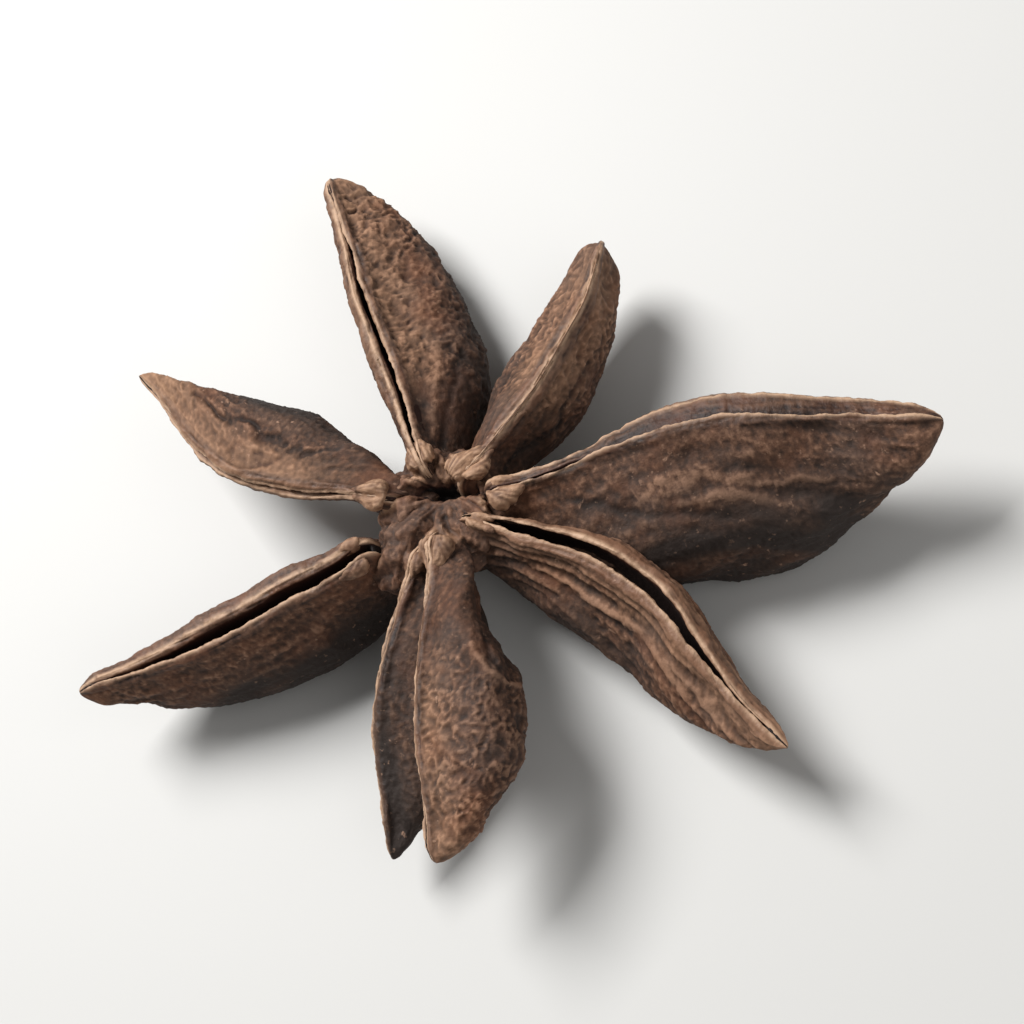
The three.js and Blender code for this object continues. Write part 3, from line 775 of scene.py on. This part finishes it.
# The column's foot darkens towards the table, under the carpels: painted shade.
HUB_PALENESS, COLUMN_FOOT_SHADE, FOOT_HEIGHTS = -0.1, -0.7, (1, 3.2)
HUB_PATTERN = 300.0  # where the hub's part of the material's patterns starts, in millimetres


def pit_share(points):
    """How deep the pit between the lips' ends is, as a share of its depth. Its edges wander."""
    flat = points[..., :2] @ np.eye(2, 3) / PIT_EDGE_SIZE
    ragged = np.stack([noise(flat, draw) for draw in PIT_EDGE_DRAWS], axis=-1) * PIT_EDGE
    across = (points[..., 1] - PIT_CENTRE[1] + 0.7 * ragged[..., 1]) / PIT_HALF[1]
    lengthwise = (points[..., 0] - PIT_CENTRE[0] + ragged[..., 0]) / PIT_HALF[0]
    return np.exp(-((lengthwise**2 + across**2) ** PIT_STEEPNESS))


def column_skin():
    """The crumpled core between the lips' inner ends, and the stalk's stub below."""
    profile = np.array(COLUMN_PROFILE, float)
    lengths = np.concatenate([[0], np.cumsum(np.linalg.norm(np.diff(profile, axis=0), axis=1))])
    steps = np.linspace(0, lengths[-1], COLUMN_STEPS)[1:-1]
    radius = np.interp(steps, lengths, profile[:, 0])[:, None]
    height = np.interp(steps, lengths, profile[:, 1])[:, None]
    turn = np.linspace(0, 2 * np.pi, COLUMN_TURN_STEPS, endpoint=False)[None, :]
    off = (turn - math.radians(SHOULDER_BEARING)) / math.radians(SHOULDER_SPREAD)
    radius = radius * (1 + SHOULDER_BULGE * np.exp(-(off**2)) * smooth(height, *SHOULDER_HEIGHTS))
    points = np.stack([radius * np.cos(turn), radius * np.sin(turn), height + 0 * turn], -1)

    east, north = points[..., 0] - PIT_CENTRE[0], points[..., 1] - PIT_CENTRE[1]
    northing, easting = (CORE_WANDER * noise(points / CORE_WANDER_SIZE, draw) for draw in CORE_WANDER_DRAWS)
    bearing = np.arctan2(north + northing, east + easting)
    turning = CORE_TURN * noise(points / CORE_TURN_SIZE, CORE_TURN_DRAW)
    folds = np.abs(np.cos(CORE_FOLDS / 2 * bearing + turning))
    folds = folds * smooth(np.hypot(east, north), *CORE_FOLDS_START)
    lumps, _ = lobes(points / np.array(LUMP_SIZE), LUMP_DRAW, LUMP_CREASE)
    crumple = LUMP_HEIGHT * (lumps - 0.5) + CORE_FOLD_HEIGHT * (folds - 0.6)
    free = smooth(points[..., 2], *FREE_OF_TABLE)
    pit = pit_share(points) * smooth(points[..., 2], 3.4, 4.3)
    points = points + grid_normals(points) * (crumple * free)[..., None]
    points[..., 2] -= PIT_DEPTH * pit
    return points


def nub_skin(carpel, side, size):
    """The swollen inner end of one lip, which dwindles along the lip."""
    length, width, thickness = NUB_LENGTH * size**0.5, NUB_WIDTH * size, NUB_THICKNESS * size
    along = (1 - np.cos(np.linspace(0, np.pi, NUB_STEPS)[1:-1])) / 2
    plump = np.sin(np.pi * along**NUB_SKEW) ** NUB_FULLNESS
    outward = carpel["knob"] - NUB_START * width + along * length
    section = sections(carpel, np.maximum(outward, carpel["knob"]), side)
    ring = np.linspace(0, 2 * np.pi, NUB_TURN_STEPS, endpoint=False)[None, :]
    from_seam = np.maximum((section["gap"] / 2 + section["lip_half"]) / 2, NUB_ASIDE * width * plump)
    middle_up = section["crest"] + (NUB_RISE + NUB_SINK) * plump - NUB_SINK - thickness * plump / 2
    local = np.stack([
        outward[:, None] + 0 * ring,
        (from_seam * (1 if side == LEFT else -1))[:, None] + (plump * width / 2)[:, None] * np.cos(ring),
        middle_up[:, None] + (plump * thickness / 2)[:, None] * np.sin(ring),
    ], axis=-1)
    return place(carpel, local)


def fuse(skins, cell):
    """One surface of even squares round several closed skins that overlap, as points and faces."""
    vertices, faces = [], []
    for skin in skins:
        start = sum(map(len, vertices))
        faces += [[corner + start for corner in face] for face in skin_faces(*skin.shape[:2])]
        vertices.append(with_ends(skin))
    crude = bpy.data.meshes.new("crude")
    crude.from_pydata(np.concatenate(vertices).tolist(), [], faces)
    body = bpy.data.objects.new("crude", crude)
    bpy.context.collection.objects.link(body)
    remesh = body.modifiers.new("squares", "REMESH")
    remesh.mode = "VOXEL"
    remesh.voxel_size = cell
    even = bpy.data.meshes.new_from_object(body.evaluated_get(bpy.context.evaluated_depsgraph_get()))
    points = np.empty(3 * len(even.vertices))
    even.vertices.foreach_get("co", points)
    corners = np.empty(len(even.loops), int)
    even.loops.foreach_get("vertex_index", corners)
    bpy.data.objects.remove(body)
    bpy.data.meshes.remove(crude)
    bpy.data.meshes.remove(even)
    return points.reshape(-1, 3), corners.reshape(-1, 4)


def evened(values, squares, times):
    """Values at a surface's points, each mixed with those of its neighbours, so many times."""
    starts = squares.ravel()
    ends = np.roll(squares, -1, axis=1).ravel()
    count = np.bincount(starts, minlength=len(values)) + np.bincount(ends, minlength=len(values))
    for _ in range(times):
        total = np.stack([
            np.bincount(starts, column[ends], len(values)) + np.bincount(ends, column[starts], len(values))
            for column in values.T
        ], axis=-1)
        values = (values + total / count[:, None]) / 2
    return values


def square_normals(points, squares):
    """Outward normals at the points of a surface of squares."""
    a, b, c, d = (points[squares[:, i]] for i in range(4))
    across = np.cross(c - a, d - b)
    total = np.stack([
        sum(np.bincount(squares[:, i], column, len(points)) for i in range(4)) for column in across.T
    ], axis=-1)
    return total / np.maximum(np.linalg.norm(total, axis=-1, keepdims=True), 1e-12)


def near_nubs(points, nubs, lips):
    """How near each point is to a nub, from 0 to 1, and how pale that nub makes it."""
    nearness, paleness = np.zeros(len(points)), np.zeros(len(points))
    for skin, (carpel, _, size) in zip(nubs, lips):
        spine = skin.mean(1)[2:16:3]
        away = np.linalg.norm(points[:, None] - spine, axis=-1).min(1)
        near = 1 - smooth(away, 0.4 * size, 0.75 * size)
        nearness = np.maximum(nearness, near)
        paleness = np.maximum(paleness, near * carpel["shade"][1])
    return nearness, paleness


def hub_patterns(points):
    """The patterns of the hub's relief. Its pleats run out from the pit."""
    east, north = points[:, 0] - PIT_CENTRE[0], points[:, 1] - PIT_CENTRE[1]
    out = np.hypot(east, north)
    round_the_pit = np.stack([east / out, north / out, (out - points[:, 2]) / PLEAT_LENGTH], axis=-1)
    finer = np.array([FINER * PLEATS, FINER * PLEATS, FINER_ALONG])
    return dict(
        folds=wrinkle(points / np.array([0.75, 0.75, 1.1]), 930),
        fine=wrinkle(points / 0.36, 940),
        grain=noise(points / 0.17, 950),
        pleats=-wrinkle(round_the_pit * np.array([PLEATS, PLEATS, 1]), 970) * smooth(out, *PLEATS_START),
        fine_pleats=-wrinkle(round_the_pit * finer, 980),
    )


def make_hub():
    """The column and the nubs, grown into one another."""
    lips = [(carpel, side, carpel["nubs"][side]) for carpel in CARPELS for side in (LEFT, RIGHT)]
    nubs = [nub_skin(*lip) for lip in lips]
    points, squares = fuse([column_skin(), *nubs], HUB_CELL)
    points = evened(points, squares, 3)
    nearness, paleness = near_nubs(points, nubs, lips)
    pattern = hub_patterns(points)
    pattern["fine_pleats"] *= nearness
    # The nubs are smoother than the core, and as mottled.
    bare = 1 - NUB_SMOOTHNESS * nearness
    relief, _ = added_up(ON_HUB, pattern, dict(folds=bare, fine=bare, pleats=0.3 + 0.7 * bare))
    _, tone = added_up(ON_HUB, pattern, {})
    free = smooth(points[:, 2], *FREE_OF_TABLE)
    points = points + square_normals(points, squares) * (relief * free)[:, None]
    points[:, 2] = np.maximum(points[:, 2], 0)

    height = points[:, 2]
    hollow = ((evened(points, squares, 12) - points) * square_normals(points, squares)).sum(-1)
    blotches = noise(points / 0.8, 960)
    pit = pit_share(points) * smooth(height, 2.6, 3.2) * (1 - smooth(height, 4.2, 4.6))
    tone = tone + NUB_TONE * nearness + BLOTCH_TONE * blotches
    foot = COLUMN_FOOT_SHADE * (1 - smooth(height, *FOOT_HEIGHTS))
    marks = dict(
        lip=0.3 + 0.4 * nearness,
        # The pit's darkness is painted shade, through the seam mark.
        seam=0.95 * smooth(pit, 0.1, 0.6),
        # A pale crest on the nubs' swellings: worn, with a painted highlight.
        crest=0.5 * nearness * smooth(-hollow, 0, 0.04),
        # Painted shade in the hollows, painted light on the swellings.
        tone=tone - np.clip(hollow / HUB_HOLLOW_SHADE, *HUB_HOLLOW_TONES),
        # The foot's darkening is painted shade.
        pale=paleness + HUB_PALENESS + foot + BLOTCH_PALENESS * blotches,
    )
    return make_piece("hub", points, squares.tolist(), marks, points + HUB_PATTERN)


# ---- Materials ----


def srgb(code):
    """A hex colour as linear values."""
    channels = [int(code[i : i + 2], 16) / 255 for i in (1, 3, 5)]
    return [c / 12.92 if c <= 0.04045 else ((c + 0.055) / 1.055) ** 2.4 for c in channels] + [1]


def add_node(tree, kind, settings=None, **links):
    """A node with its settings, and its inputs as values or as other nodes' outputs."""
    node = tree.nodes.new(kind)
    for key, value in (settings or {}).items():
        setattr(node, key, value)
    for key, value in links.items():
        socket = node.inputs[int(key[1:])] if key[0] == "_" else node.inputs[key.replace("__", " ")]
        if isinstance(value, bpy.types.NodeSocket):
            tree.links.new(value, socket)
        else:
            socket.default_value = value
    return node


# What gives each pattern: how far apart its blotches lie in millimetres, how many finer layers it holds, and
# how strong each is against the one before. Flecks and pores are fibre bundles a few hundredths of a
# millimetre thick, drawn coarser so that they show.
PATTERNS = {
    "grey_patches": (2.9, 3, 0.6),
    "red_patches": (2, 3, 0.6),
    "lip_patches": (1.25, 3, 0.6),
    "speck_fields": (1.7, 3, 0.6),
    "rubbing": (0.6, 3, 0.6),
    "specks": (0.22, 2, 0.5),
    "flecks": (0.2, 4, 0.7),
    "pores": (0.14, 4, 0.6),
}
# Where each finish lies: the pattern or mark it follows, the stretch that counts, and what that gives.
MASKS = {
    "toned": ("tone", (-1, 1), (0, 1)),
    "flecking": ("flecks", (0.3, 0.7), (-0.18, 0.18)),
    "greyed": ("grey_patches", (0.48, 0.68), (0, 0.5)),
    "reddened": ("red_patches", (0.5, 0.72), (0, 0.4)),
    "lip_reddened": ("lip_patches", (0.45, 0.7), (0, 0.4)),
    "lit": ("tone", (-1, 0.8), (0, 1)),
    # The paler rim, tip and nubs: partly the husk's own tan, partly painted light.
    "faded": ("pale", (0, 1.1), (0, 1)),
    # Painted shade, where the pale mark falls below 0.
    "darkened": ("pale", (0, -1.2), (0, 1)),
    # Pale specks: partly corky specks, partly painted glints.
    "corky": ("specks", (0.65, 0.75), (0, 1)),
    "corkiness": ("speck_fields", (0.35, 0.75), (0, 1)),
    "rubbed": ("rubbing", (0.25, 0.5), (0, 1)),
    # The seam darkens with depth to near black: painted shade over the lining.
    "depth": ("seam", (0, 0.9), (0, 1)),
    "inside": ("seam", (0.05, 0.45), (0, 1)),
    "roughness": ("lip", (0, 1), (0.78, 0.56)),
}
JOINED_MASKS = {
    "flecked": ("ADD", "toned", "flecking"),
    "speckled": ("MULTIPLY", "corky", "corkiness"),
    # Crests worn pale with a painted highlight, broken where the rubbing misses.
    "worn": ("MULTIPLY", "crest", "rubbed"),
}
# The husk's browns by tone, from its hollows to its crests: the husk's own mottling, with painted shade in the
# hollows and painted light on the crests.
SHADED_HOLLOW_BROWN, LIT_CREST_BROWN = "#21150f", "#967159"
BROWNS_BETWEEN = [(0.4, "#483124"), (0.66, "#664735")]
# The finish, in the order in which it is laid on: a layer, its mask, and what lies under and over in it.
LAYERS = [
    ("husk", "greyed", "husk", "#4b3e38"),
    ("husk", "reddened", "husk", "#7d4a2c"),
    ("lips", "flecked", "#271812", "#775642"),
    ("lips", "lip_reddened", "lips", "#6b3d25"),
    ("husk", "lip", "husk", "lips"),
    ("pale husk", "lit", "#563b2b", "#a98265"),
    # Paler rim, tip and nubs: partly the husk's own tan, partly painted light.
    ("husk", "faded", "husk", "pale husk"),
    # Painted shade: the dark foot of the flanks, dark rims and the column's foot.
    ("husk", "darkened", "husk", "#2f2520"),
    # Pale specks, partly corky and partly painted glints.
    ("husk", "speckled", "husk", "#a38069"),
    # Painted highlight on the crests, together with their worn paleness.
    ("husk", "worn", "husk", "#bd9b7f"),
    # The seam's reddish lining darkens to a painted shade at its bottom.
    ("seam", "depth", "#4a2618", "#170e0b"),
    ("husk", "inside", "husk", "seam"),
]
# Dry plant fibre bends light by about 1.5, and the air in its cells takes some of the shine.
HUSK_IOR = 1.42
PORE_STRENGTH = 0.7
PORE_DEPTH = 0.06 * MM


def husk_material():
    """The fruit's woody wall, dried in the sun.

    Drying leaves it matt and finely wrinkled: brown on crests and nearly black in hollows, which is partly
    painted light and painted shade, with pale specks that are partly corky and partly painted glints. The lips
    are denser and a little smoother; where fruits rub together their edges are worn pale, and these crests
    also carry a painted highlight. The seam darkens to a painted shade at its bottom."""
    material = bpy.data.materials.new("sun_dried_husk")
    material.use_nodes = True
    tree = material.node_tree
    shader = tree.nodes["Principled BSDF"]
    grain = add_node(tree, "ShaderNodeAttribute", dict(attribute_name="grain_mm")).outputs["Vector"]
    values = {}
    for name in ("tone", "lip", "seam", "crest", "pale"):
        values[name] = add_node(tree, "ShaderNodeAttribute", dict(attribute_name=name)).outputs["Fac"]
    for name, (size, detail, roughness) in PATTERNS.items():
        pattern = add_node(
            tree, "ShaderNodeTexNoise", Vector=grain, Scale=1 / size, Detail=detail, Roughness=roughness
        )
        values[name] = pattern.outputs["Fac"]
    for name, (source, (low, high), (first, last)) in MASKS.items():
        mask = add_node(
            tree, "ShaderNodeMapRange",
            Value=values[source], From__Min=low, From__Max=high, To__Min=first, To__Max=last,
        )
        values[name] = mask.outputs["Result"]
    for name, (operation, a, b) in JOINED_MASKS.items():
        joined = add_node(tree, "ShaderNodeMath", dict(operation=operation), _0=values[a], _1=values[b])
        values[name] = joined.outputs["Value"]

    browns = add_node(tree, "ShaderNodeValToRGB", Fac=values["flecked"])
    stops = browns.color_ramp.elements
    stops[0].color = srgb(SHADED_HOLLOW_BROWN)
    stops[1].color = srgb(LIT_CREST_BROWN)
    for share, colour in BROWNS_BETWEEN:
        stops.new(share).color = srgb(colour)
    layers = {"husk": browns.outputs["Color"]}
    for name, mask, *parts in LAYERS:
        under, over = (srgb(part) if part[0] == "#" else layers[part] for part in parts)
        # Inputs 6 and 7 and output 2 are this node's colours.
        colours = dict(data_type="RGBA")
        mixed = add_node(tree, "ShaderNodeMix", colours, Factor=values[mask], _6=under, _7=over)
        layers[name] = mixed.outputs[2]

    tree.links.new(layers["husk"], shader.inputs["Base Color"])
    tree.links.new(values["roughness"], shader.inputs["Roughness"])
    shader.inputs["IOR"].default_value = HUSK_IOR
    pores = values["pores"]
    bump = add_node(tree, "ShaderNodeBump", Strength=PORE_STRENGTH, Distance=PORE_DEPTH, Height=pores)
    tree.links.new(bump.outputs["Normal"], shader.inputs["Normal"])
    return material


def card_material():
    """Pale card, rolled flat and left uncoated: matt, so it shows the fruit's shadow and no shine."""
    material = bpy.data.materials.new("matt_card")
    material.use_nodes = True
    material.node_tree.nodes["Principled BSDF"].inputs["Base Color"].default_value = srgb("#cac9c6")
    return material


# ---- The scene ----

TABLE_SIZE = 2
# The camera looks down on the open side, from the direction that faces it squarely.
CAMERA_LENS, CAMERA_CLIP_START = 100, 0.001
CAMERA_ELEVATION, CAMERA_AZIMUTH, CAMERA_DISTANCE = 65, 45, 0.106
CAMERA_TARGET = (0.0022, 0.0002, 0.0024)
# Name, place, size and power of each soft lamp, in metres and watts, and what they are turned to.
LAMPS = [
    ("key", (-0.15, 0.14, 0.25), 0.15, 1.5),
    ("fill", (0.25, -0.1, 0.2), 0.3, 0.3),
]
LAMP_TARGET = (0, 0, 0.003)
SKY_STRENGTH = 0.2


def lay_table():
    bpy.ops.mesh.primitive_plane_add(size=TABLE_SIZE)
    floor = bpy.context.object
    floor.name = "floor"
    floor.data.materials.append(card_material())


def set_camera():
    """A long lens, with north upright in the picture."""
    camera_data = bpy.data.cameras.new("camera")
    camera = bpy.data.objects.new("camera", camera_data)
    bpy.context.collection.objects.link(camera)
    bpy.context.scene.camera = camera
    camera_data.lens = CAMERA_LENS
    camera_data.clip_start = CAMERA_CLIP_START
    elevation, azimuth = math.radians(CAMERA_ELEVATION), math.radians(CAMERA_AZIMUTH)
    back = Vector((
        math.sin(azimuth) * math.cos(elevation),
        -math.cos(azimuth) * math.cos(elevation),
        math.sin(elevation),
    ))
    camera.location = Vector(CAMERA_TARGET) + back * CAMERA_DISTANCE
    up = Vector((0, 1, 0))
    up = (up - back * up.dot(back)).normalized()
    right = up.cross(back)
    camera.rotation_mode = "QUATERNION"
    camera.rotation_quaternion = Matrix((right, up, back)).transposed().to_quaternion()


def light_scene():
    for name, position, size, power in LAMPS:
        light_data = bpy.data.lights.new(name, "AREA")
        light_data.size = size
        light_data.energy = power
        light = bpy.data.objects.new(name, light_data)
        light.location = position
        bpy.context.collection.objects.link(light)
        light.rotation_mode = "QUATERNION"
        light.rotation_quaternion = (Vector(LAMP_TARGET) - light.location).to_track_quat("-Z", "Y")
    world = bpy.data.worlds.new("world")
    bpy.context.scene.world = world
    world.use_nodes = True
    sky = world.node_tree.nodes["Background"]
    sky.inputs["Color"].default_value = (1, 1, 1, 1)
    sky.inputs["Strength"].default_value = SKY_STRENGTH
    bpy.context.scene.view_settings.view_transform = "Standard"


def main():
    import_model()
    husk = husk_material()
    pieces = [make_carpel(carpel, number) for number, carpel in enumerate(CARPELS, 1)]
    pieces.append(make_hub())
    for piece in pieces:
        piece.data.materials.append(husk)
        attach(piece, "root")
        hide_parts("pod")
    lay_table()
    set_camera()
    light_scene()


main()
